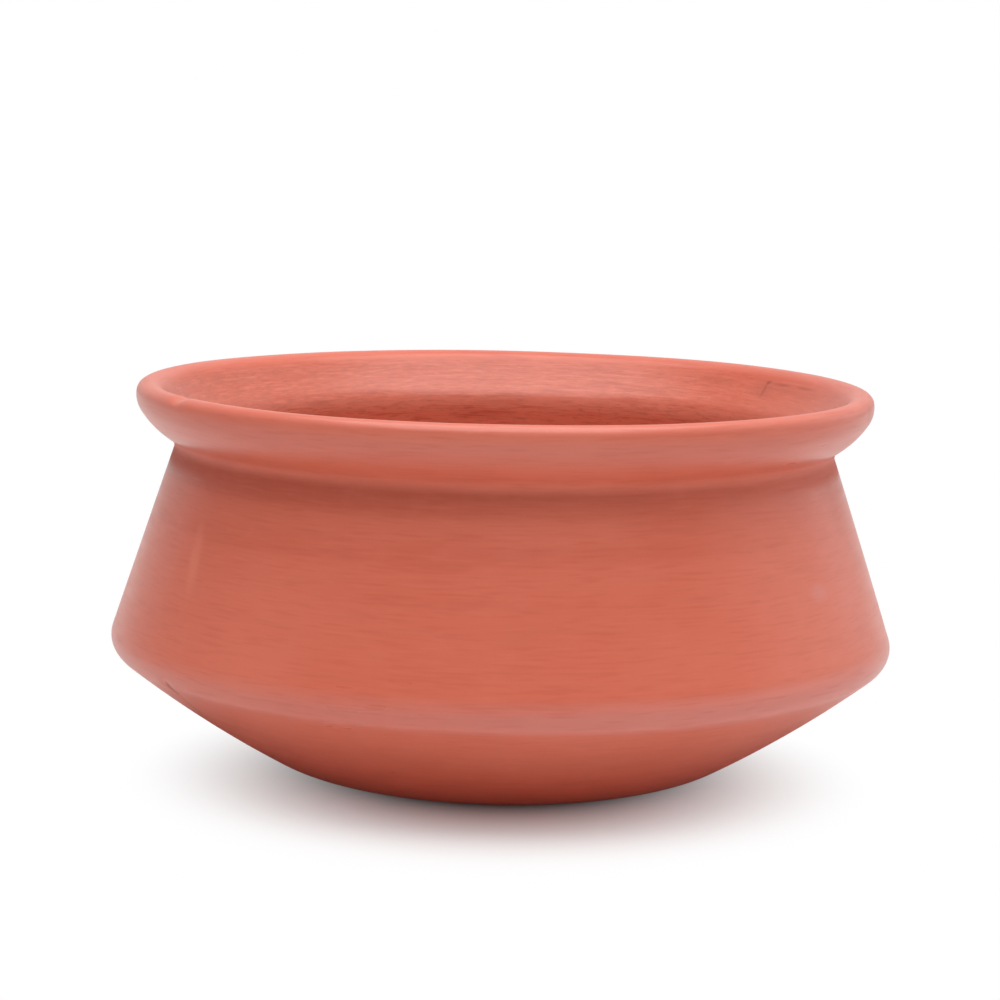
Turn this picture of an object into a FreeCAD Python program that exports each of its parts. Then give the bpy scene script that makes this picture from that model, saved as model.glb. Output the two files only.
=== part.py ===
import FreeCAD
import Part

import math
import os
import Sketcher

# A clay cooking pot, thrown in one piece: a flat base, a bulging underside, a sharp low
# belly edge, a straight sloping shoulder, a narrow throat and a flared rim with a round lip.
# Lengths are millimetres. The pot stands on z = 0 and its axis is the z axis.

Vector = FreeCAD.Vector

# Driving dimensions: value and meaning
SIZES = {
    "belly_diameter": (240.0, "widest diameter, round the belly edge"),
    "belly_height": (38.7, "ground to the middle of the belly edge"),
    "belly_rounding": (6.2, "outer radius of the belly edge"),
    "belly_hollow": (14.0, "inner radius of the belly edge"),
    "base_diameter": (121.0, "flat that the pot stands on"),
    "base_rounding": (26.5, "radius between that flat and the underside"),
    "underside_radius": (344.0, "gentle bulge between base and belly"),
    "throat_inset": (19.0, "belly edge in to the throat, across"),
    "shoulder_height": (57.9, "belly edge up to the throat"),
    "throat_rounding": (3.4, "radius of the crease round the throat"),
    "rim_overhang": (11.4, "throat out to the rim's widest place, across"),
    "rim_height": (19.5, "throat up to the crest of the lip"),
    "flare_radius": (27.0, "bulge of the rim's underside"),
    "cheek_radius": (8.1, "roll of the rim's outer face, where it is widest"),
    "cheek_drop": (3.85, "crest of the lip down to the rim's widest place"),
    "lip_rounding": (3.1, "radius of the lip's outer edge"),
    "lip_softening": (6.0, "radius of the lip's softer inner edge"),
    "rim_hollow": (60.0, "soft hollow of the rim's inside, between lip and ridge"),
    "ridge_radius": (8.0, "rounding of the ridge inside the throat"),
    "ridge_rise": (2.2, "middle of that rounding above the middle of the crease outside"),
    "wall": (6.0, "thickness of the shoulder"),
    "floor_thickness": (7.5, "thickness of floor and underside"),
    "floor_rounding": (30.0, "radius between the flat floor and the wall inside"),
}

# Every arc of the section is turned as equal flats, which leave it by no more than this
FLAT_GAP = 0.18

# Sketch point numbers: both ends and the centre of a line or arc, and the sketch's own origin
START = 1
END = 2
CENTRE = 3
ORIGIN = (-1, 1)


def size(name):
    return SIZES[name][0]


def make_sheet(doc):
    """Write the driving dimensions into a spreadsheet, one aliased cell each."""
    sheet = doc.addObject("Spreadsheet::Sheet", "Sizes")
    for row, (name, (value, meaning)) in enumerate(SIZES.items(), start=1):
        sheet.set(f"A{row}", name)
        sheet.set(f"B{row}", str(value))
        sheet.set(f"C{row}", meaning)
        sheet.setAlias(f"B{row}", name)
    doc.recompute()
    return sheet


def direction(start, end):
    """Unit vector from one point to another."""
    return (end - start).normalize()


def line(start, end):
    return Part.LineSegment(start, end)


def arc(centre, start, end):
    """Arc about a centre, counterclockwise from start to end."""
    first = math.atan2(start.y - centre.y, start.x - centre.x)
    last = math.atan2(end.y - centre.y, end.x - centre.x)
    if last < first:
        last += 2 * math.pi
    circle = Part.Circle(centre, Vector(0, 0, 1), (start - centre).Length)
    return Part.ArcOfCircle(circle, first, last)


def flats(curve):
    """The equal chords that an arc is turned as."""
    sweep = curve.LastParameter - curve.FirstParameter
    widest = 2 * math.acos(1 - FLAT_GAP / curve.Radius)
    count = math.ceil(sweep / widest)
    ends = [curve.value(curve.FirstParameter + sweep * turn / count) for turn in range(count + 1)]
    return [line(start, end) for start, end in zip(ends, ends[1:])]


def circles_cross(first, first_radius, second, second_radius):
    """The point where two circles cross, on the left of the way from the first centre."""
    span = (second - first).Length
    along = (first_radius ** 2 - second_radius ** 2 + span ** 2) / (2 * span)
    aside = math.sqrt(first_radius ** 2 - along ** 2)
    ahead = direction(first, second)
    left = Vector(-ahead.y, ahead.x)
    return first + ahead * along + left * aside


def line_meets_circle(point, ahead, centre, radius):
    """The last point where a line through a point, in a direction, meets a circle."""
    along = (centre - point).dot(ahead)
    nearest = point + ahead * along
    return nearest + ahead * math.sqrt(radius ** 2 - (centre - nearest).Length ** 2)


def wall_section():
    """Lines and arcs of half the wall's section: x is the radius and y the height."""
    wall = size("wall")
    floor = size("floor_thickness")
    foot_radius = size("base_rounding")
    belly_radius = size("belly_rounding")
    hollow_radius = size("belly_hollow")
    bowl_radius = size("floor_rounding")
    throat_radius = size("throat_rounding")
    ridge_radius = size("ridge_radius")
    flare_radius = size("flare_radius")
    cheek_radius = size("cheek_radius")
    lip_radius = size("lip_rounding")
    brink_radius = size("lip_softening")
    rim_radius = size("rim_hollow")
    underside_radius = size("underside_radius")
    inside_radius = underside_radius - floor

    # Centres of the rounded places outside, from the ground up
    foot = Vector(size("base_diameter") / 2, foot_radius)
    across = size("belly_diameter") / 2
    belly = Vector(across - belly_radius, size("belly_height"))
    across -= size("throat_inset")
    throat = Vector(across + throat_radius, size("belly_height") + size("shoulder_height"))
    across += size("rim_overhang")
    crest_up = throat.y + size("rim_height")
    cheek = Vector(across - cheek_radius, crest_up - size("cheek_drop"))
    lip = line_meets_circle(Vector(0, crest_up - lip_radius), Vector(1, 0),
                            cheek, cheek_radius - lip_radius)
    crest = Vector(lip.x, crest_up)
    brink = Vector(lip.x, crest_up - brink_radius)
    underside = circles_cross(foot, underside_radius - foot_radius,
                              belly, underside_radius - belly_radius)
    flare = circles_cross(throat, flare_radius + throat_radius,
                          cheek, flare_radius - cheek_radius)

    # Outside: the shoulder is the line that touches both the belly edge and the throat
    touching = math.asin((belly_radius + throat_radius) / (throat - belly).Length)
    heading = math.atan2(throat.y - belly.y, throat.x - belly.x) + touching
    up_shoulder = Vector(math.cos(heading), math.sin(heading))
    outward = Vector(up_shoulder.y, -up_shoulder.x)
    foot_inner = Vector(foot.x, 0)
    foot_outer = foot + direction(underside, foot) * foot_radius
    belly_low = belly + direction(underside, belly) * belly_radius
    belly_high = belly + outward * belly_radius
    throat_low = throat - outward * throat_radius
    throat_high = throat + direction(throat, flare) * throat_radius
    cheek_low = cheek + direction(flare, cheek) * cheek_radius
    cheek_high = cheek + direction(cheek, lip) * cheek_radius

    # Inside of rim and throat: a soft hollow between the lip's brink and the ridge of the throat
    in_line = throat - outward * (throat_radius + wall - ridge_radius)
    rise = size("ridge_rise") + throat.y - in_line.y
    ridge = in_line + up_shoulder * (rise / up_shoulder.y)
    rim = circles_cross(ridge, ridge_radius + rim_radius, brink, brink_radius + rim_radius)
    ridge_low = ridge - outward * ridge_radius
    ridge_high = ridge + direction(ridge, rim) * ridge_radius
    brink_low = brink + direction(brink, rim) * brink_radius

    # Inside of belly and floor: circles that touch the wall on both their sides
    beside_shoulder = ridge_low - outward * hollow_radius
    hollow = line_meets_circle(beside_shoulder, up_shoulder * -1,
                               underside, inside_radius - hollow_radius)
    hollow_low = hollow + direction(underside, hollow) * hollow_radius
    hollow_high = hollow + outward * hollow_radius
    above_floor = Vector(0, floor + bowl_radius)
    bowl = line_meets_circle(above_floor, Vector(1, 0), underside, inside_radius - bowl_radius)
    bowl_inner = Vector(bowl.x, floor)
    bowl_outer = bowl + direction(underside, bowl) * bowl_radius

    return {
        "base": line(Vector(0, 0), foot_inner),
        "foot": arc(foot, foot_inner, foot_outer),
        "underside": arc(underside, foot_outer, belly_low),
        "belly": arc(belly, belly_low, belly_high),
        "shoulder": line(belly_high, throat_low),
        "throat": arc(throat, throat_high, throat_low),
        "flare": arc(flare, throat_high, cheek_low),
        "cheek": arc(cheek, cheek_low, cheek_high),
        "lip": arc(lip, cheek_high, crest),
        "brink": arc(brink, crest, brink_low),
        "rim_hollow": arc(rim, ridge_high, brink_low),
        "ridge": arc(ridge, ridge_high, ridge_low),
        "inner_shoulder": line(ridge_low, hollow_high),
        "hollow": arc(hollow, hollow_low, hollow_high),
        "inner_underside": arc(underside, bowl_outer, hollow_low),
        "bowl": arc(bowl, bowl_inner, bowl_outer),
        "floor": line(bowl_inner, Vector(0, floor)),
        "axis": line(Vector(0, floor), Vector(0, 0)),
    }


# Where the section's lines and arcs meet at a corner, and where they run on smoothly
CORNERS = [
    ("axis", END, "base", START),
    ("floor", END, "axis", START),
]
SMOOTH = [
    ("base", END, "foot", START),
    ("foot", END, "underside", START),
    ("underside", END, "belly", START),
    ("belly", END, "shoulder", START),
    ("shoulder", END, "throat", END),
    ("throat", START, "flare", START),
    ("flare", END, "cheek", START),
    ("cheek", END, "lip", START),
    ("lip", END, "brink", START),
    ("brink", END, "rim_hollow", END),
    ("rim_hollow", START, "ridge", START),
    ("ridge", END, "inner_shoulder", START),
    ("inner_shoulder", END, "hollow", END),
    ("hollow", START, "inner_underside", END),
    ("inner_underside", START, "bowl", END),
    ("bowl", START, "floor", START),
]
CONCENTRIC = [
    ("inner_underside", "underside"),
]

# Sizes of the sketch, each as an expression of the sheet's cells
THROAT_ACROSS = "Sizes.belly_diameter / 2 - Sizes.throat_inset"
THROAT_UP = "Sizes.belly_height + Sizes.shoulder_height"
CREST_UP = f"{THROAT_UP} + Sizes.rim_height"
RADII = {
    "foot": "Sizes.base_rounding",
    "underside": "Sizes.underside_radius",
    "belly": "Sizes.belly_rounding",
    "throat": "Sizes.throat_rounding",
    "flare": "Sizes.flare_radius",
    "cheek": "Sizes.cheek_radius",
    "lip": "Sizes.lip_rounding",
    "brink": "Sizes.lip_softening",
    "rim_hollow": "Sizes.rim_hollow",
    "ridge": "Sizes.ridge_radius",
    "hollow": "Sizes.belly_hollow",
    "inner_underside": "Sizes.underside_radius - Sizes.floor_thickness",
    "bowl": "Sizes.floor_rounding",
}
PLACES = {
    ("base", END, "DistanceX"): "Sizes.base_diameter / 2",
    ("belly", CENTRE, "DistanceX"): "Sizes.belly_diameter / 2 - Sizes.belly_rounding",
    ("belly", CENTRE, "DistanceY"): "Sizes.belly_height",
    ("throat", CENTRE, "DistanceX"): f"{THROAT_ACROSS} + Sizes.throat_rounding",
    ("throat", CENTRE, "DistanceY"): THROAT_UP,
    ("cheek", CENTRE, "DistanceX"): f"{THROAT_ACROSS} + Sizes.rim_overhang - Sizes.cheek_radius",
    ("cheek", CENTRE, "DistanceY"): f"{CREST_UP} - Sizes.cheek_drop",
    ("lip", END, "DistanceY"): CREST_UP,
    ("ridge", CENTRE, "DistanceY"): f"{THROAT_UP} + Sizes.ridge_rise",
    ("axis", START, "DistanceY"): "Sizes.floor_thickness",
}


def origin_plane(body, role):
    return next(part for part in body.Origin.OriginFeatures if part.Role == role)


def bind(sketch, kind, *where, expression):
    """Add a dimension at its drawn length and tie it to an expression."""
    index = sketch.addConstraint(Sketcher.Constraint(kind, *where))
    sketch.setExpression(f"Constraints[{index}]", expression)


def is_arc(curve):
    return isinstance(curve, Part.ArcOfCircle)


def join_section(sketch, number):
    """Hold the section's lines and arcs together, level, upright and smooth where they are so."""
    rules = [Sketcher.Constraint("Coincident", number["axis"], END, *ORIGIN)]
    rules.append(Sketcher.Constraint("Vertical", number["axis"]))
    rules.append(Sketcher.Constraint("Horizontal", number["base"]))
    rules.append(Sketcher.Constraint("Horizontal", number["floor"]))
    rules.append(Sketcher.Constraint("Parallel", number["shoulder"], number["inner_shoulder"]))
    rules.append(Sketcher.Constraint("Vertical", number["lip"], CENTRE, number["lip"], END))
    for kind, meetings in (("Coincident", CORNERS), ("Tangent", SMOOTH)):
        for first, first_end, second, second_end in meetings:
            rules.append(Sketcher.Constraint(kind, number[first], first_end, number[second], second_end))
    for inner, outer in CONCENTRIC:
        rules.append(Sketcher.Constraint("Coincident", number[inner], CENTRE, number[outer], CENTRE))
    sketch.addConstraint(rules)


def draw_flats(sketch, arc_number, curve):
    """Draw an arc's flats, of equal length and with their ends on the arc."""
    chords = [sketch.addGeometry(flat, False) for flat in flats(curve)]
    rules = [Sketcher.Constraint("Coincident", chords[0], START, arc_number, START)]
    rules.append(Sketcher.Constraint("Coincident", chords[-1], END, arc_number, END))
    for before, after in zip(chords, chords[1:]):
        rules.append(Sketcher.Constraint("Coincident", before, END, after, START))
        rules.append(Sketcher.Constraint("PointOnObject", before, END, arc_number))
        rules.append(Sketcher.Constraint("Equal", before, after))
    sketch.addConstraint(rules)


def draw_section(body):
    """Draw the wall's section on the body's upright plane and constrain it fully."""
    sketch = body.newObject("Sketcher::SketchObject", "WallSection")
    sketch.AttachmentSupport = [(origin_plane(body, "XZ_Plane"), "")]
    sketch.MapMode = "FlatFace"
    section = wall_section()
    number = {name: sketch.addGeometry(curve, is_arc(curve)) for name, curve in section.items()}
    join_section(sketch, number)

    for name, expression in RADII.items():
        bind(sketch, "Radius", number[name], section[name].Radius, expression=expression)
    bind(sketch, "Distance", number["inner_shoulder"], START, number["shoulder"], size("wall"),
         expression="Sizes.wall")
    for (name, point, kind), expression in PLACES.items():
        place = sketch.getPoint(number[name], point)
        length = place.x if kind == "DistanceX" else place.y
        bind(sketch, kind, *ORIGIN, number[name], point, length, expression=expression)

    for name, curve in section.items():
        if is_arc(curve):
            draw_flats(sketch, number[name], curve)
    return sketch


def make_pot(doc):
    """Turn the wall's section once round the axis."""
    body = doc.addObject("PartDesign::Body", "CookingPot")
    body.Label = "cooking_pot"
    sketch = draw_section(body)
    turned = body.newObject("PartDesign::Revolution", "TurnedWall")
    turned.Profile = sketch
    turned.ReferenceAxis = (sketch, ["V_Axis"])
    turned.Angle = 360
    return body


def check(doc, bodies):
    """Stop if anything failed to build."""
    for item in doc.Objects:
        if {"Invalid", "Error"} & set(item.State):
            raise RuntimeError(f"{item.Name} failed: {item.State}")
    for body in bodies:
        if body.Shape.isNull() or not body.Shape.isValid():
            raise RuntimeError(f"{body.Label} has no valid shape")


document = FreeCAD.newDocument("CookingPot")
make_sheet(document)
pot = make_pot(document)
document.recompute()
check(document, [pot])

os.makedirs("parts", exist_ok=True)
for piece in [pot]:
    piece.Shape.exportStep(f"parts/{piece.Label}.step")
    box = piece.Shape.optimalBoundingBox(False, False)
    print(f"{piece.Label}: {len(piece.Shape.Solids)} solid, volume {piece.Shape.Volume / 1000:.1f} cm3")
    print(f"  {box.XLength:.2f} x {box.YLength:.2f} x {box.ZLength:.2f} mm")
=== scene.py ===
# %% [markdown]
# A thrown clay cooking pot, in Blender.
# A potter throws such a pot on a wheel from one lump of clay: a flat base, a bulging underside,
# a tight belly edge low down, a straight shoulder, a narrow throat and a flared, rounded rim.
# Because the wheel turns, one section of the wall says nearly everything about the shape.
# The lesson draws that section, spins it, adds what the hand and the kiln left, and fires it.

import math

import bpy
from mathutils import Matrix, Vector


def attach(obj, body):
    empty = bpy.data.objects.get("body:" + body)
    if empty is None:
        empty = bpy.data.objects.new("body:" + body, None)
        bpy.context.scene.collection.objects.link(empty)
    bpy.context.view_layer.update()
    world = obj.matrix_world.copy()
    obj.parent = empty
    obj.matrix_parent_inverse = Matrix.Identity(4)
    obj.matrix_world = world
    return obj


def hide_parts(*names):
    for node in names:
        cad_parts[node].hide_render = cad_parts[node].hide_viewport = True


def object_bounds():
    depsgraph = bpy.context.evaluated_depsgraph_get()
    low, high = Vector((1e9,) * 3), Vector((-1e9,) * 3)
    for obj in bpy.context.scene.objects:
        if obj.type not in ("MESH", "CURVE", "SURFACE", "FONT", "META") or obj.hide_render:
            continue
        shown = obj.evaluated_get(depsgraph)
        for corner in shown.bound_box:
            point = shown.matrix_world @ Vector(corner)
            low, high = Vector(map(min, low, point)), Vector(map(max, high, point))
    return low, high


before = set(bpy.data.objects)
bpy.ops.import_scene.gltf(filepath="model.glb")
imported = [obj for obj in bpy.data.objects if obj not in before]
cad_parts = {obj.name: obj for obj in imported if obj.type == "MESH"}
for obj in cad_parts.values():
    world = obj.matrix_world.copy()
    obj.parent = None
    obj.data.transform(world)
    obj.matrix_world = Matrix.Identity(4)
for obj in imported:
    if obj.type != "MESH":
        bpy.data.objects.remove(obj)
cad_low, cad_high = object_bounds()
print("CAD box, metres:", tuple(cad_low), tuple(cad_high))

# %% [markdown]
# The section is made of a few round stretches, each with a centre and a radius, joined by
# straight ones. It could be drawn by eye as a curve, but then every change would be guesswork.
# Here the same driving sizes as the solid pot's are written once, in metres, and each centre
# is worked out from the ones that it touches.

# %% Driving sizes
MM = 0.001
CLEARANCE = 0.15 * MM
BELLY_RADIUS = cad_high.x - CLEARANCE
HEIGHT = cad_high.z - CLEARANCE
BELLY_HEIGHT = 38.7 * MM
BELLY_EDGE = 6.2 * MM
BELLY_HOLLOW = 14 * MM
FLAT_RADIUS = 60.5 * MM
FOOT_EDGE = 26.5 * MM
UNDERSIDE = 344 * MM
THROAT_INSET = 19 * MM
THROAT_BELOW_CREST = 19.5 * MM
THROAT_EDGE = 3.4 * MM
RIM_OVERHANG = 11.4 * MM
FLARE = 27 * MM
CHEEK = 8.1 * MM
CHEEK_BELOW_CREST = 3.85 * MM
LIP = 3.1 * MM
BRINK = 6 * MM
RIM_HOLLOW = 60 * MM
RIDGE = 8 * MM
RIDGE_RISE = 2.2 * MM
WALL = 6 * MM
FLOOR = 7.5 * MM
BOWL_EDGE = 30 * MM
print("belly radius and height, mm:", round(BELLY_RADIUS / MM, 2), round(HEIGHT / MM, 2))


# %% [markdown]
# Two bits of school geometry place every centre: where two circles cross, and where a straight
# line meets a circle. A round stretch that touches another has its centre on such a crossing.

# %% Geometry helpers
def point(x, z):
    return Vector((x, 0, z))


def towards(start, end):
    return (end - start).normalized()


def circles_cross(first, first_radius, second, second_radius):
    """The crossing on the left of the way from the first centre to the second."""
    span = (second - first).length
    along = (first_radius ** 2 - second_radius ** 2 + span ** 2) / (2 * span)
    aside = math.sqrt(first_radius ** 2 - along ** 2)
    ahead = towards(first, second)
    return first + ahead * along + point(-ahead.z, ahead.x) * aside


def line_meets_circle(start, ahead, centre, radius):
    """The last point where a line in a direction meets a circle."""
    nearest = start + ahead * (centre - start).dot(ahead)
    return nearest + ahead * math.sqrt(radius ** 2 - (centre - nearest).length ** 2)


# %% [markdown]
# Outside first, from the ground up: foot, underside, belly edge, shoulder, throat, flare, and
# the cheek and lip, which roll the rim's outer face over to its crest.
# The shoulder is the one line that touches the belly edge on its outside and the throat on its
# inside, so its slope follows from those two circles and nothing has to be guessed.

# %% Centres outside
throat_radius = BELLY_RADIUS - THROAT_INSET
foot = point(FLAT_RADIUS, FOOT_EDGE)
belly = point(BELLY_RADIUS - BELLY_EDGE, BELLY_HEIGHT)
throat = point(throat_radius + THROAT_EDGE, HEIGHT - THROAT_BELOW_CREST)
cheek = point(throat_radius + RIM_OVERHANG - CHEEK, HEIGHT - CHEEK_BELOW_CREST)
lip = line_meets_circle(point(0, HEIGHT - LIP), point(1, 0), cheek, CHEEK - LIP)
underside = circles_cross(foot, UNDERSIDE - FOOT_EDGE, belly, UNDERSIDE - BELLY_EDGE)
flare = circles_cross(throat, FLARE + THROAT_EDGE, cheek, FLARE - CHEEK)
lean = math.asin((BELLY_EDGE + THROAT_EDGE) / (throat - belly).length)
heading = math.atan2(throat.z - belly.z, throat.x - belly.x) + lean
up_shoulder = point(math.cos(heading), math.sin(heading))
outward = point(up_shoulder.z, -up_shoulder.x)
print("shoulder leans in by", round(math.degrees(heading) - 90, 1), "degrees")

# %% [markdown]
# Inside, the lip ends in a softer brink, and a round ridge lies behind the throat's crease, a
# little higher and one wall in from the shoulder. Three wider circles, the hollow of the rim, the
# hollow of the belly and the bowl of the floor, touch what they join.

# %% Centres inside
brink = point(lip.x, HEIGHT - BRINK)
in_line = throat - outward * (THROAT_EDGE + WALL - RIDGE)
ridge = in_line + up_shoulder * ((throat.z + RIDGE_RISE - in_line.z) / up_shoulder.z)
rim = circles_cross(ridge, RIDGE + RIM_HOLLOW, brink, BRINK + RIM_HOLLOW)
hollow_line = ridge - outward * (RIDGE + BELLY_HOLLOW)
hollow = line_meets_circle(hollow_line, -up_shoulder, underside, UNDERSIDE - FLOOR - BELLY_HOLLOW)
bowl_line = point(0, FLOOR + BOWL_EDGE)
bowl = line_meets_circle(bowl_line, point(1, 0), underside, UNDERSIDE - FLOOR - BOWL_EDGE)
print("ridge is", round((ridge.z - throat.z) / MM, 1), "mm above the crease")

# %% [markdown]
# Where one stretch ends, the next begins: on a circle, in the direction of the neighbour that
# it touches. These points are the joints of the outline, from the ground up and down inside.

# %% Joints of the outline
def on(centre, direction, radius):
    return centre + direction * radius


foot_out = on(foot, towards(underside, foot), FOOT_EDGE)
belly_low = on(belly, towards(underside, belly), BELLY_EDGE)
belly_high = on(belly, outward, BELLY_EDGE)
throat_low = on(throat, -outward, THROAT_EDGE)
throat_high = on(throat, towards(throat, flare), THROAT_EDGE)
cheek_low = on(cheek, towards(flare, cheek), CHEEK)
cheek_high = on(cheek, towards(cheek, lip), CHEEK)
crest = point(lip.x, HEIGHT)
brink_low = on(brink, towards(brink, rim), BRINK)
ridge_high = on(ridge, towards(ridge, rim), RIDGE)
ridge_low = on(ridge, -outward, RIDGE)
hollow_high = on(hollow, outward, BELLY_HOLLOW)
hollow_low = on(hollow, towards(underside, hollow), BELLY_HOLLOW)
bowl_out = on(bowl, towards(underside, bowl), BOWL_EDGE)
print("lip crest at radius, mm:", round(crest.x / MM, 1))

# %% [markdown]
# The outline is drawn with two tools, as on paper with a ruler and a pair of compasses. A
# straight stretch is one vertex extruded again and again, and a round stretch is the same
# vertex spun about the stretch's centre. The last vertex stays selected, and so it is the pen.
# The steps follow what the eye needs: small on the lip, where light turns quickly, and wider on
# the long flat underside. Straight stretches get steps too, for the unevenness that comes later.

# %% Drawing tools
Y_AXIS = (0, 1, 0)


def rule(start, end, step):
    """Extrude the pen in a straight line."""
    steps = round((end - start).length / step)
    bpy.ops.mesh.extrude_repeat(steps=steps, offset=(end - start) / steps)


def angle_of(centre, place):
    return math.atan2(place.z - centre.z, place.x - centre.x)


def swing(start, centre, end, step, way=1):
    """Spin the pen about a centre, counterclockwise where way is 1."""
    sweep = (angle_of(centre, end) - angle_of(centre, start)) * way % (2 * math.pi)
    steps = round((start - centre).length * sweep / step)
    bpy.ops.mesh.spin(steps=steps, angle=way * sweep, center=centre, axis=Y_AXIS)


# %% Put the pen down
bpy.ops.object.select_all(action="DESELECT")
bpy.ops.mesh.primitive_plane_add(size=MM, location=(0, 0, 0))
pot = bpy.context.object
pot.name = "thrown_pot"
bpy.ops.object.mode_set(mode="EDIT")
bpy.ops.mesh.select_all(action="SELECT")
bpy.ops.mesh.merge(type="CENTER")
bpy.ops.object.mode_set(mode="OBJECT")
bpy.ops.object.mode_set(mode="EDIT")

# %% Outside, from the ground up
flat_edge = point(foot.x, 0)
rule(point(0, 0), flat_edge, 4 * MM)
swing(flat_edge, foot, foot_out, 1.1 * MM)
swing(foot_out, underside, belly_low, 2 * MM)
swing(belly_low, belly, belly_high, 0.5 * MM)
rule(belly_high, throat_low, 1.5 * MM)
swing(throat_low, throat, throat_high, 0.4 * MM, -1)
swing(throat_high, flare, cheek_low, 0.8 * MM)
swing(cheek_low, cheek, cheek_high, 0.5 * MM)
swing(cheek_high, lip, crest, 0.35 * MM)

# %% Inside, back down to the axis
bowl_edge = point(bowl.x, FLOOR)
swing(crest, brink, brink_low, 0.45 * MM)
swing(brink_low, rim, ridge_high, 1.1 * MM, -1)
swing(ridge_high, ridge, ridge_low, 0.6 * MM)
rule(ridge_low, hollow_high, 1.5 * MM)
swing(hollow_high, hollow, hollow_low, 1.1 * MM, -1)
swing(hollow_low, underside, bowl_out, 2 * MM, -1)
swing(bowl_out, bowl, bowl_edge, 1.1 * MM, -1)
rule(bowl_edge, point(0, FLOOR), 4 * MM)
bpy.ops.object.mode_set(mode="OBJECT")
print("outline:", len(pot.data.vertices), "vertices")

# %% [markdown]
# Every vertex also remembers how far along the wall it lies, from the middle of the base. The
# potter's fingers drew their fine lines along that way, so the clay's finish asks for it later.

# %% The way along the wall
ALONG = "along"

places = [vertex.co.copy() for vertex in pot.data.vertices]
ways = [0.0]
for before, after in zip(places, places[1:]):
    ways.append(ways[-1] + (after - before).length)
along = pot.data.attributes.new(ALONG, "FLOAT", "POINT")
along.data.foreach_set("value", ways)


def way_at(place):
    """How far along the wall the outline passes a place."""
    return ways[min(range(len(places)), key=lambda index: (places[index] - place).length)]


belly_way = way_at(belly + point(BELLY_EDGE, 0))
throat_way = way_at(throat - point(THROAT_EDGE, 0))
crest_way = way_at(crest)
ridge_way = way_at(ridge - point(RIDGE, 0))
cheek_way = way_at(cheek_low)
landmarks = (belly_way, throat_way, cheek_way, crest_way, ridge_way, ways[-1])
print("way to the landmarks, mm:", [round(way / MM) for way in landmarks])

# %% [markdown]
# Now the wheel turns. Spin carries the outline once round the axis, and the doubles where the
# last step meets the first, and where the outline meets the axis, are merged.

# %% Spin the wall
SEGMENTS = 320

bpy.ops.object.mode_set(mode="EDIT")
bpy.ops.mesh.select_all(action="SELECT")
bpy.ops.mesh.spin(steps=SEGMENTS, angle=2 * math.pi, center=(0, 0, 0), axis=(0, 0, 1))
bpy.ops.mesh.select_all(action="SELECT")
bpy.ops.mesh.remove_doubles(threshold=0.02 * MM)
bpy.ops.mesh.normals_make_consistent(inside=False)
bpy.ops.object.mode_set(mode="OBJECT")
triangles = sum(len(face.vertices) - 2 for face in pot.data.polygons)
print("spun:", len(pot.data.vertices), "vertices,", triangles, "triangles")

# %% [markdown]
# No wheel runs quite true, and clay moves while it dries. A pot made of perfect circles looks
# like plastic, because its highlights run dead straight. A Displace modifier with a soft cloud
# pattern pushes the wall in and out by a fraction of a millimetre. A vertex group holds the flat
# underneath still, so that the pot stands firmly.

# %% Uneven as a hand leaves it
UNEVEN = 0.4 * MM
CLOUD_SIZE = 70 * MM
STILL_BELOW = 1 * MM
FREE_ABOVE = 12 * MM

free = pot.vertex_groups.new(name="free")
for vertex in pot.data.vertices:
    weight = min(max((vertex.co.z - STILL_BELOW) / (FREE_ABOVE - STILL_BELOW), 0), 1)
    free.add([vertex.index], weight, "REPLACE")

cloud = bpy.data.textures.new("hand_clouds", "CLOUDS")
cloud.noise_scale = CLOUD_SIZE
cloud.noise_depth = 1
push = pot.modifiers.new("hand", "DISPLACE")
push.texture = cloud
push.texture_coords = "LOCAL"
push.strength = UNEVEN
push.mid_level = 0.5
push.vertex_group = free.name
bpy.ops.object.modifier_apply(modifier=push.name)
print("uneven by up to", UNEVEN / MM / 2, "mm")

# %% [markdown]
# Two marks tell that this pot has been handled: the lip has a little step at the front left, and
# the underside has a short dent near the belly edge.
# A thumb would make them by pressing. Proportional editing does the same: one vertex is moved,
# and its neighbours follow less and less within a given reach. All marks, these and the painted
# ones further down, are placed in millimetres, because they are that small.

# %% Press the marks in
def near(place):
    """The vertex closest to a place."""
    return min(pot.data.vertices, key=lambda vertex: (vertex.co - place).length_squared).index


def press(place, move, reach):
    """Move the clay at a place, with the neighbours within reach following."""
    index = near(place * MM)
    bpy.ops.object.mode_set(mode="EDIT")
    bpy.ops.mesh.select_all(action="DESELECT")
    bpy.ops.object.mode_set(mode="OBJECT")
    pot.data.vertices[index].select = True
    bpy.ops.object.mode_set(mode="EDIT")
    bpy.ops.transform.translate(value=Vector(move) * MM, use_proportional_edit=True,
                                proportional_edit_falloff="SMOOTH", proportional_size=reach * MM,
                                use_proportional_connected=True)
    bpy.ops.object.mode_set(mode="OBJECT")


LIP_STEP = Vector((-92.4, -60.0, 115.7))
DENT_HEAD = Vector((-94.3, -71.7, 35.4))
DENT_TAIL = Vector((-92.3, -69.5, 32.6))

press(LIP_STEP, move=(0, 0, -0.9), reach=5)
for share in (0, 0.5, 1):
    press(DENT_HEAD.lerp(DENT_TAIL, share), move=(0.3, 0.25, 0.3), reach=2.4)
print("marks pressed in: 2")

# %% [markdown]
# The wall is round everywhere, even in the crease of the throat, so every face is shaded smooth.
# The two calls after that tell the frame which body the pot rides on, and which solid it stands
# in for.

# %% Smooth shading
bpy.ops.object.shade_smooth()
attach(pot, "root")
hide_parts("cooking_pot")
print("smooth:", pot.name)


# %% [markdown]
# A finish is worked out as sums of patterns. Written as wires between nodes that is hard to
# read, so a small class wraps a socket and lets Python's own operators add the Math nodes.

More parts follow.
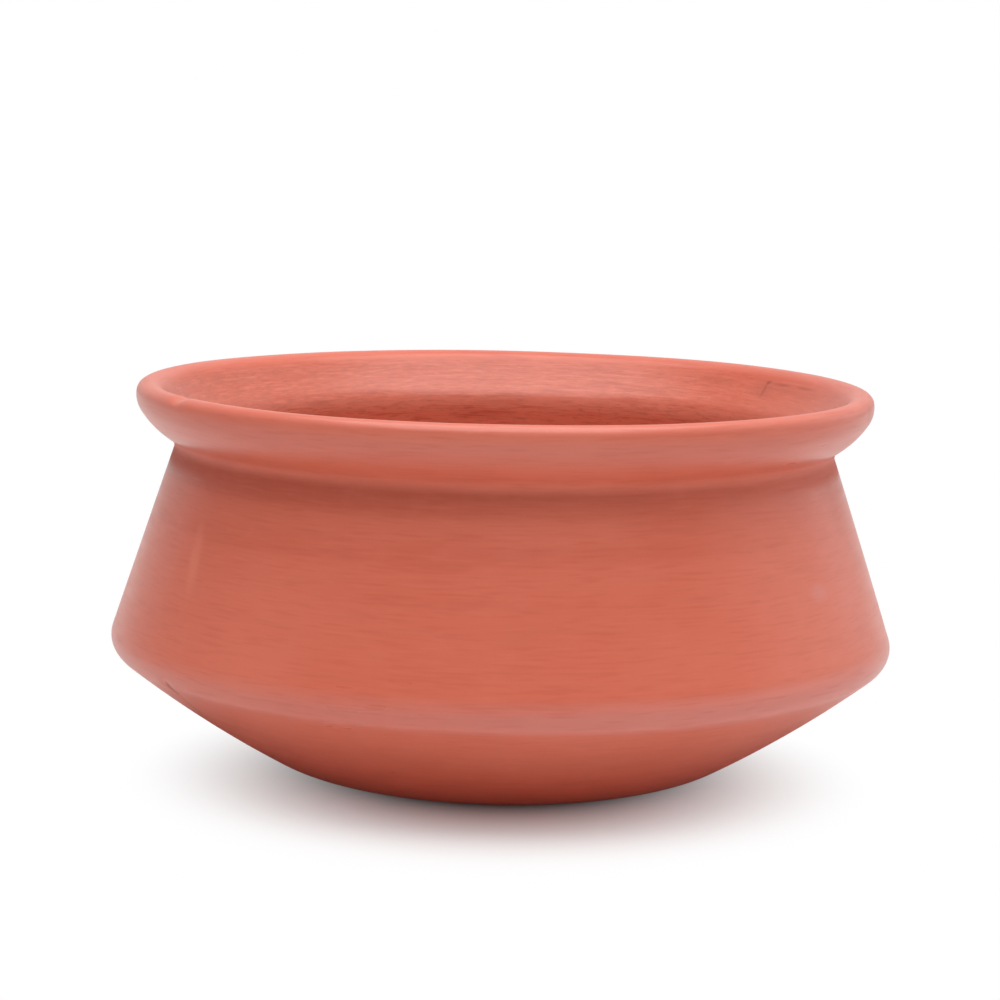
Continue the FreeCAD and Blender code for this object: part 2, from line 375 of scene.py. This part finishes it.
# %% Sums of patterns
class Wire:
    """One output of a node. Each operator adds the Math node that works it out."""

    def __init__(self, finish, socket):
        self.finish = finish
        self.socket = socket

    def output(self, name):
        """Another output of the same node."""
        return Wire(self.finish, self.socket.node.outputs[name])

    def maths(self, operation, *terms):
        return self.finish.node("ShaderNodeMath", {"operation": operation}, dict(enumerate(terms)))

    def __add__(self, other):
        return self.maths("ADD", self, other)

    def __sub__(self, other):
        return self.maths("SUBTRACT", self, other)

    def __rsub__(self, other):
        return self.maths("SUBTRACT", other, self)

    def __mul__(self, other):
        return self.maths("MULTIPLY", self, other)

    def clamped(self):
        return self.maths("MINIMUM", self.maths("MAXIMUM", self, 0), 1)

    __radd__ = __add__
    __rmul__ = __mul__


# %% [markdown]
# A second class holds one material. It gives any node from its type, its settings and what goes
# into its sockets, and on top of that the few patterns that this pot's finishes are made of.

# %% One material
class Finish:
    """One material, made from nodes."""

    def __init__(self, tree):
        self.tree = tree
        tree.nodes.clear()

    def node(self, kind, settings, sockets, out=0):
        """Add a node: its settings first, then numbers or wires into its sockets."""
        made = self.tree.nodes.new(kind)
        for name, value in settings.items():
            setattr(made, name, value)
        for name, value in sockets.items():
            if isinstance(value, Wire):
                self.tree.links.new(value.socket, made.inputs[name])
            else:
                made.inputs[name].default_value = value
        return Wire(self, made.outputs[out]) if made.outputs else made

    def ramp(self, value, low, high):
        """0 below low, 1 above high, and smooth between."""
        sockets = {"Value": value, "From Min": low, "From Max": high}
        return self.node("ShaderNodeMapRange", {"interpolation_type": "SMOOTHSTEP"}, sockets)

    def band(self, value, middle, flat, fade):
        """1 within flat of a middle value, and 0 beyond a further fade."""
        rise = self.ramp(value, middle - flat - fade, middle - flat)
        return rise * (1 - self.ramp(value, middle + flat, middle + flat + fade))

    def noise(self, place, scale, detail, rough):
        sockets = {"Vector": place, "Scale": scale, "Detail": detail, "Roughness": rough}
        return self.node("ShaderNodeTexNoise", {}, sockets)

    def mix(self, share, first, second):
        """A share of the second colour over the first."""
        sockets = {0: share, 6: first, 7: second}
        return self.node("ShaderNodeMix", {"data_type": "RGBA"}, sockets, 2)

    def spot(self, place, size, turn=(0, 0, 0)):
        """1 at a place and 0 outside an egg of a given size round it, both in millimetres."""
        sockets = {"Vector": self.place, "Location": Vector(place) * MM, "Rotation": turn,
                   "Scale": Vector(size) * MM}
        egg = self.node("ShaderNodeMapping", {"vector_type": "TEXTURE"}, sockets)
        length = self.node("ShaderNodeVectorMath", {"operation": "LENGTH"}, {0: egg}, "Value")
        return 1 - self.ramp(length, 0.2, 1.0)

    def stroke(self, start, end, width):
        """1 along a short straight stroke between two places and 0 outside it, in millimetres."""
        start, end = Vector(start), Vector(end)
        turn = (end - start).to_track_quat("Z", "Y").to_euler()
        size = (width, width, (end - start).length / 2 + width)
        return self.spot((start + end) / 2, size, turn)

    def rays(self):
        """1 for what the camera sees, and 1 for what a shiny or clear skin sees."""
        seen = self.node("ShaderNodeLightPath", {}, {}, "Is Camera Ray")
        skins = (seen.output("Is Glossy Ray") + seen.output("Is Transmission Ray")).clamped()
        return seen, skins


# %% [markdown]
# Terracotta is red earth, burnished with a smooth stone while it is leather hard and then
# fired. The burnished skin is satin: duller than glaze, but bright where light grazes it. Its
# colour shifts gently with the fire, and fine rings and streaks follow the turning.
# Such lines are long round the pot and short along the wall. So they are a noise read at a place
# made of the object's x and y, which change slowly, and the way along the wall, made large.

# %% Clay: places that the patterns are read at
clay = bpy.data.materials.new("burnished_terracotta")
clay.use_nodes = True
finish = Finish(clay.node_tree)
finish.place = finish.node("ShaderNodeTexCoord", {}, {}, "Object")
x = finish.node("ShaderNodeSeparateXYZ", {}, {0: finish.place})
y = x.output("Y")
way = finish.node("ShaderNodeAttribute", {"attribute_name": ALONG}, {}, "Fac")


def turned(round_scale, along_scale, detail, rough):
    """A noise that changes slowly round the pot and quickly along the wall."""
    sockets = {"X": x * round_scale, "Y": y * round_scale, "Z": way * along_scale}
    place = finish.node("ShaderNodeCombineXYZ", {}, sockets)
    return finish.noise(place, 1, detail, rough)


# %% [markdown]
# Broad clouds come from the fire, and a small mottle and grain from the clay itself. Soft bands
# and hair-fine rings come from the turning, smears and short streaks from the polishing stone,
# and fibres from the rib that scraped the inside. Scales are in changes per metre.

# %% Clay: patterns
clouds = finish.noise(finish.place, 16, 3, 0.55)
mottle = finish.noise(finish.place, 110, 3, 0.6)
grain = finish.noise(finish.place, 1800, 2, 0.6)
bands = turned(3, 90, 2, 0.5)
rings = turned(9, 900, 1, 0.5)
smears = turned(40, 260, 2, 0.6)
streaks = turned(90, 1100, 1, 0.5)
fibres = turned(260, 1500, 2, 0.6)
print("clay patterns:", len(clay.node_tree.nodes), "nodes")

# %% [markdown]
# The way along the wall also tells where on the pot a place is. The inside starts at the crest of
# the lip and its share grows over the brink. The depth, which no tool smooths, starts at the
# ridge, and the crease is where the shoulder meets the rim. The foot and the depth get painted
# light, the crease painted shade, and the right side, towards the right lamp, more painted light
# and less painted shade. At the right, the inside was wiped.

# %% Clay: regions
inside = finish.ramp(way, crest_way + 3 * MM, crest_way + 9 * MM)
depth = finish.ramp(way, ridge_way - 5 * MM, ridge_way + 4 * MM)
crease = finish.band(way, throat_way - 3 * MM, 2.5 * MM, 4 * MM)
painted_bounce_foot = 1 - finish.ramp(way, FLAT_RADIUS + 16 * MM, FLAT_RADIUS + 50 * MM)
right_side = finish.ramp(x, -80 * MM, 80 * MM)
rough_inside = inside * (1 - finish.ramp(x, 60 * MM, 100 * MM) * 0.7)
print("clay with its regions:", len(clay.node_tree.nodes), "nodes")

# %% [markdown]
# Pale pink bands are painted sheen, where burnished clay catches the light: round the belly
# edge, more so at the right, under the rim, and on the crest of the lip.

# %% Clay: painted sheen
belly_sheen = finish.band(way, belly_way - 1.5 * MM, 3 * MM, 4 * MM)
cheek_sheen = finish.band(way, cheek_way, 2 * MM, 6 * MM)
crest_sheen = finish.band(way, crest_way, 3 * MM, 3 * MM)
painted_sheen = belly_sheen * (0.16 + right_side * 0.14) + cheek_sheen * 0.10 + crest_sheen * 0.08

# %% [markdown]
# Each single mark is an egg-shaped spot, squeezed to the mark's shape. A scratch runs down the
# underside at the left and starts in the dent. Inside, at the back right, a short crack goes
# down from a hole at the brink, and a fine line runs on from it round the rim, with a stain below.
# Outside there are two painted highlights, a pale stroke down the left shoulder and a pale pink
# patch of painted sheen on the right one, and a red worn place at the right end of the lip.

# %% Clay: marks
dent = finish.stroke(DENT_HEAD, DENT_TAIL, 2.0)
scratch = finish.stroke((-92.3, -69.5, 32.4), (-84.6, -61.4, 23.9), 2.2)
crack = finish.stroke((86.2, 56.4, 111.6), (83.4, 53.5, 107.1), 1.2)
hole = finish.spot((86.4, 56.0, 111.8), (1.8, 1.8, 1.0))
line = finish.stroke((87.0, 55.0, 111.8), (93.3, 44.2, 112.1), 0.9)
line = line + finish.stroke((93.3, 44.2, 112.1), (98.6, 30.7, 112.2), 0.9)
stain = finish.spot((84.0, 55.5, 109.5), (10.0, 10.0, 4.5))
right_sheen_patch = finish.spot((90.4, -65.4, 64.4), (7.0, 7.0, 3.6))
left_highlight = finish.stroke((-85.9, -62.1, 80.7), (-89.2, -69.6, 59.4), 4.0)
worn = finish.spot((107.5, -32.0, 112.0), (7.0, 7.0, 4.0))
print("clay with its marks:", len(clay.node_tree.nodes), "nodes")

# %% [markdown]
# Colours are mixed one over the other, from the widest change to the smallest. The numbers are
# linear light, as the shader wants them. Some of them are painted light and shade, as noted below.

# %% Clay: colours
RED_EARTH = (0.650, 0.145, 0.086, 1)
PALE_EARTH = (0.71, 0.190, 0.122, 1)
DEEP_EARTH = (0.51, 0.090, 0.046, 1)
FOOT_BOUNCE_LIT = (0.88, 0.165, 0.085, 1)
RIM_INSIDE = (0.53, 0.128, 0.078, 1)
FILL_LIT_DEPTH = (0.70, 0.240, 0.156, 1)
BROWN_SKIN = (0.40, 0.100, 0.062, 1)
SHEEN_PINK = (0.66, 0.32, 0.31, 1)
SHADE = (0.32, 0.058, 0.034, 1)

# %% Clay: colour of the fire, and painted light and shade
colour = finish.mix(finish.ramp(clouds, 0.42, 0.72) * 0.40, RED_EARTH, PALE_EARTH)
colour = finish.mix(finish.ramp(bands, 0.50, 0.75) * 0.30, colour, DEEP_EARTH)
# Painted shade: the crease under the rim is darker, less so at the right, towards the right lamp.
colour = finish.mix(crease * (0.60 - right_side * 0.45), colour, DEEP_EARTH)
# Painted bounce light: the clay near the foot is brighter, as if lit by the paper below.
colour = finish.mix(painted_bounce_foot * 0.90, colour, FOOT_BOUNCE_LIT)
# The inside of the rim is darker; less so at the right, which is painted light from the right
# lamp.
colour = finish.mix(inside * (0.95 - right_side * 0.40), colour, RIM_INSIDE)
# Painted fill light: below the ridge, where the inside lies in shade, the clay is paler and
# greyer.
colour = finish.mix(depth, colour, FILL_LIT_DEPTH)
# Painted sheen: pale pink bands on the belly edge, under the rim and on the lip's crest.
colour = finish.mix(painted_sheen, colour, SHEEN_PINK)

# %% [markdown]
# The fine patterns come next. Where a noise is high it darkens the clay a little, and where the
# same noise is low it lightens it, so that the middle colour stays what it was. All of them are
# stronger inside, where the polishing stone can't reach.

# %% Clay: colour of the fine patterns
colour = finish.mix(finish.ramp(mottle, 0.50, 0.80) * 0.22, colour, PALE_EARTH)
smeared = finish.ramp(smears, 0.52, 0.78) * (0.12 + rough_inside * 0.38)
colour = finish.mix(smeared, colour, BROWN_SKIN)
dark_streaks = finish.ramp(streaks, 0.50, 0.75) * (0.22 + rough_inside * 0.30)
colour = finish.mix(dark_streaks, colour, DEEP_EARTH)
pale_streaks = (1 - finish.ramp(streaks, 0.25, 0.45)) * (0.20 + rough_inside * 0.25)
colour = finish.mix(pale_streaks, colour, PALE_EARTH)
dark_fibres = finish.ramp(fibres, 0.50, 0.72) * rough_inside * 0.50
colour = finish.mix(dark_fibres, colour, BROWN_SKIN)
pale_fibres = (1 - finish.ramp(fibres, 0.28, 0.48)) * rough_inside * 0.35
colour = finish.mix(pale_fibres, colour, PALE_EARTH)
pits = finish.ramp(grain, 0.66, 0.80) * (0.12 + inside * 0.25)
colour = finish.mix(pits, colour, SHADE)

# %% Clay: colour of the marks and painted highlights
# Painted highlight: a pale stroke down the left shoulder, where a lamp's reflection falls.
colour = finish.mix(left_highlight * 0.70, colour, PALE_EARTH)
colour = finish.mix(worn * 0.45, colour, DEEP_EARTH)
colour = finish.mix(scratch * 0.80, colour, DEEP_EARTH)
colour = finish.mix(stain * 0.30, colour, BROWN_SKIN)
shaded = (dent * 1.2 + crack * 0.5 + hole * 0.7 + line * 0.6).clamped() * 0.80
colour = finish.mix(shaded, colour, SHADE)
# Painted sheen: a pale pink patch on the right shoulder.
colour = finish.mix(right_sheen_patch * 0.20, colour, SHEEN_PINK)

# %% [markdown]
# Roughness and bump give the satin. Heights are in millimetres, and the bump's distance turns
# them into metres. Rings are shallow outside, where the stone closed them, and deeper inside.
# The stone can't reach into the crease under the rim or below the ridge, so they stay dull.

# %% Clay: skin
ROUGH = 0.31

height = rings * (0.006 + inside * 0.020) + smears * (0.010 + inside * 0.05) + bands * 0.05
height = height + streaks * (0.004 + inside * 0.020) + fibres * inside * 0.030
height = height + grain * (0.004 + inside * 0.012)
height = height - dent * 0.20 - scratch * 0.08 - crack * 0.08 - hole * 0.12
sockets = {"Strength": 1.0, "Distance": MM, "Height": height}
bump = finish.node("ShaderNodeBump", {}, sockets, "Normal")
unburnished = finish.band(way, throat_way, 2.5 * MM, 4 * MM) + depth
roughness = ROUGH + (smears - 0.5) * 0.12 + (clouds - 0.5) * 0.10 + inside * 0.02
roughness = (roughness + unburnished * 0.3).clamped()
skin = finish.node("ShaderNodeBsdfPrincipled", {}, {
    "Base Color": colour, "Roughness": roughness, "Normal": bump, "IOR": 1.45}, "BSDF")
finish.node("ShaderNodeOutputMaterial", {}, {"Surface": skin})
pot.data.materials.append(clay)
print("clay:", len(clay.node_tree.nodes), "nodes")

# %% [markdown]
# The stage is a sheet of pale paper: it lies under the pot, runs back, and sweeps up behind, so
# that no corner shows. A plane is the floor, its far edge is extruded upwards, and the fold is
# bevelled round.

# %% Paper sweep
PAPER_SIZE = 7.0
PAPER_BACK = 2.2
PAPER_RISE = 3.0
FOLD = 0.8
FOLD_STEPS = 24

bpy.ops.object.select_all(action="DESELECT")
bpy.ops.mesh.primitive_plane_add(size=PAPER_SIZE, location=(0, PAPER_BACK - PAPER_SIZE / 2, 0))
sheet = bpy.context.object
sheet.name = "paper_sweep"
bpy.ops.object.transform_apply(location=True)


def select_fold():
    """Select the paper's edge on the floor at its back."""
    bpy.ops.object.mode_set(mode="EDIT")
    bpy.ops.mesh.select_mode(type="EDGE")
    bpy.ops.mesh.select_all(action="DESELECT")
    bpy.ops.object.mode_set(mode="OBJECT")
    for edge in sheet.data.edges:
        ends = [sheet.data.vertices[end].co for end in edge.vertices]
        edge.select = all(abs(end.y - PAPER_BACK) < MM and end.z < MM for end in ends)
    bpy.ops.object.mode_set(mode="EDIT")


select_fold()
bpy.ops.mesh.extrude_region_move(TRANSFORM_OT_translate={"value": (0, 0, PAPER_RISE)})
select_fold()
bpy.ops.mesh.bevel(offset=FOLD, segments=FOLD_STEPS)
bpy.ops.object.mode_set(mode="OBJECT")
bpy.ops.object.shade_smooth()
print("paper:", len(sheet.data.polygons), "faces")

# %% [markdown]
# The paper is matt and keeps the pot's shadow, which lies under the pot and a little to its
# front. Away from there it turns plain white for the camera. Shiny skins see it white from just
# outside the pot's shadow, and half as bright far away, where no lamp reaches. The light that it
# throws on the pot stays that of matt paper.

# %% Paper finish
PAPER = (0.85, 0.85, 0.85, 1)
WHITE = (1, 1, 1, 1)
SHADOW_PLACE = (0, -0.030, 0)
SHADOW_FADE = (0.028, 0.115)
SHEEN_FADE = (0.10, 0.30)
FAR_FADE = (1.4, 1.8)
FAR_LOSS = 0.5

paper_material = bpy.data.materials.new("matt_paper")
paper_material.use_nodes = True
paper = Finish(paper_material.node_tree)
paper.place = paper.node("ShaderNodeTexCoord", {}, {}, "Object")


def away_from(place):
    """How far a place on the paper is from a given one."""
    sockets = {0: paper.place, 1: place}
    return paper.node("ShaderNodeVectorMath", {"operation": "DISTANCE"}, sockets, "Value")


seen, skins = paper.rays()
away = away_from((0, 0, 0))
white_for_camera = paper.ramp(away_from(SHADOW_PLACE), *SHADOW_FADE)
white_for_skins = paper.ramp(away, *SHEEN_FADE) * (1 - paper.ramp(away, *FAR_FADE) * FAR_LOSS)
share = seen * white_for_camera + skins * white_for_skins
matt = paper.node("ShaderNodeBsdfDiffuse", {}, {"Color": PAPER})
glow = paper.node("ShaderNodeEmission", {}, {"Color": WHITE})
mixed = paper.node("ShaderNodeMixShader", {}, {0: share, 1: matt, 2: glow})
paper.node("ShaderNodeOutputMaterial", {}, {"Surface": mixed})
sheet.data.materials.append(paper_material)
print("paper finish:", len(paper_material.node_tree.nodes), "nodes")

# %% [markdown]
# The room round the stage is dim and fills in the shadows. Where the camera looks past the paper
# it sees plain white, and shiny skins see a trace of that white.

# %% Room
ROOM = 0.29
ROOM_SHEEN = 0.05

world = bpy.data.worlds.new("dim_room")
bpy.context.scene.world = world
world.use_nodes = True
room = Finish(world.node_tree)
seen, skins = room.rays()
dim = room.node("ShaderNodeBackground", {}, {"Color": WHITE, "Strength": ROOM})
bright = room.node("ShaderNodeBackground", {}, {"Color": WHITE, "Strength": 1.0})
mixed = room.node("ShaderNodeMixShader", {}, {0: seen + skins * ROOM_SHEEN, 1: dim, 2: bright})
room.node("ShaderNodeOutputWorld", {}, {"Surface": mixed})
print("room level:", ROOM)

# %% [markdown]
# Studio light for clay is broad and soft. One large softbox hangs above the pot and a little to
# its front: it gives the rim its sheen, and the paper throws it back under the belly. A second
# one stands at the right, somewhat behind the pot, so that the right side is the brighter one.
# With the room, they light the pot at a plain level, so that its colours come out as they are
# written.

# %% Light
POT_MIDDLE = Vector((0, 0, 0.06))


def softbox(name, size, level, distance, about, up):
    """A square lamp that faces the pot, some degrees round to the right and up from the front."""
    lamp = bpy.data.lights.new(name, "AREA")
    lamp.shape = "SQUARE"
    lamp.size = size
    lamp.energy = level * math.pi * size ** 2
    hung = bpy.data.objects.new(name, lamp)
    way_round = Matrix.Rotation(math.radians(about), 4, "Z")
    way_up = Matrix.Rotation(math.radians(90 - up), 4, "X")
    back = Matrix.Translation((0, 0, distance))
    hung.matrix_world = Matrix.Translation(POT_MIDDLE) @ way_round @ way_up @ back
    bpy.context.scene.collection.objects.link(hung)
    print(name, "at", [round(value, 2) for value in hung.matrix_world.translation])


softbox("overhead_softbox", size=1.2, level=3.3, distance=1.0, about=0, up=80)
softbox("right_softbox", size=1.2, level=0.66, distance=1.15, about=105, up=30)

# %% [markdown]
# The camera stands where the photographer's did: a little above the rim, looking slightly down
# with a long lens, and tipped by a degree to one side. Distances are in metres, and the lens is
# in millimetres.

# %% Camera
LOOK_AT = Vector((-0.00106, 0, 0.07954))
DISTANCE = 0.80156
DOWN = math.radians(8.46)
TIP = math.radians(1.17)
SENSOR = 36
LENS = 93.42

view = bpy.data.cameras.new("camera")
view.sensor_width = SENSOR
view.lens = LENS
camera = bpy.data.objects.new("camera", view)
turn = Matrix.Rotation(math.pi / 2 - DOWN, 4, "X") @ Matrix.Rotation(TIP, 4, "Z")
stand = LOOK_AT + Vector((0, -math.cos(DOWN), math.sin(DOWN))) * DISTANCE
camera.matrix_world = Matrix.Translation(stand) @ turn
bpy.context.scene.collection.objects.link(camera)
bpy.context.scene.camera = camera
bpy.context.scene.view_settings.view_transform = "Standard"
print("camera at", [round(value, 3) for value in stand])
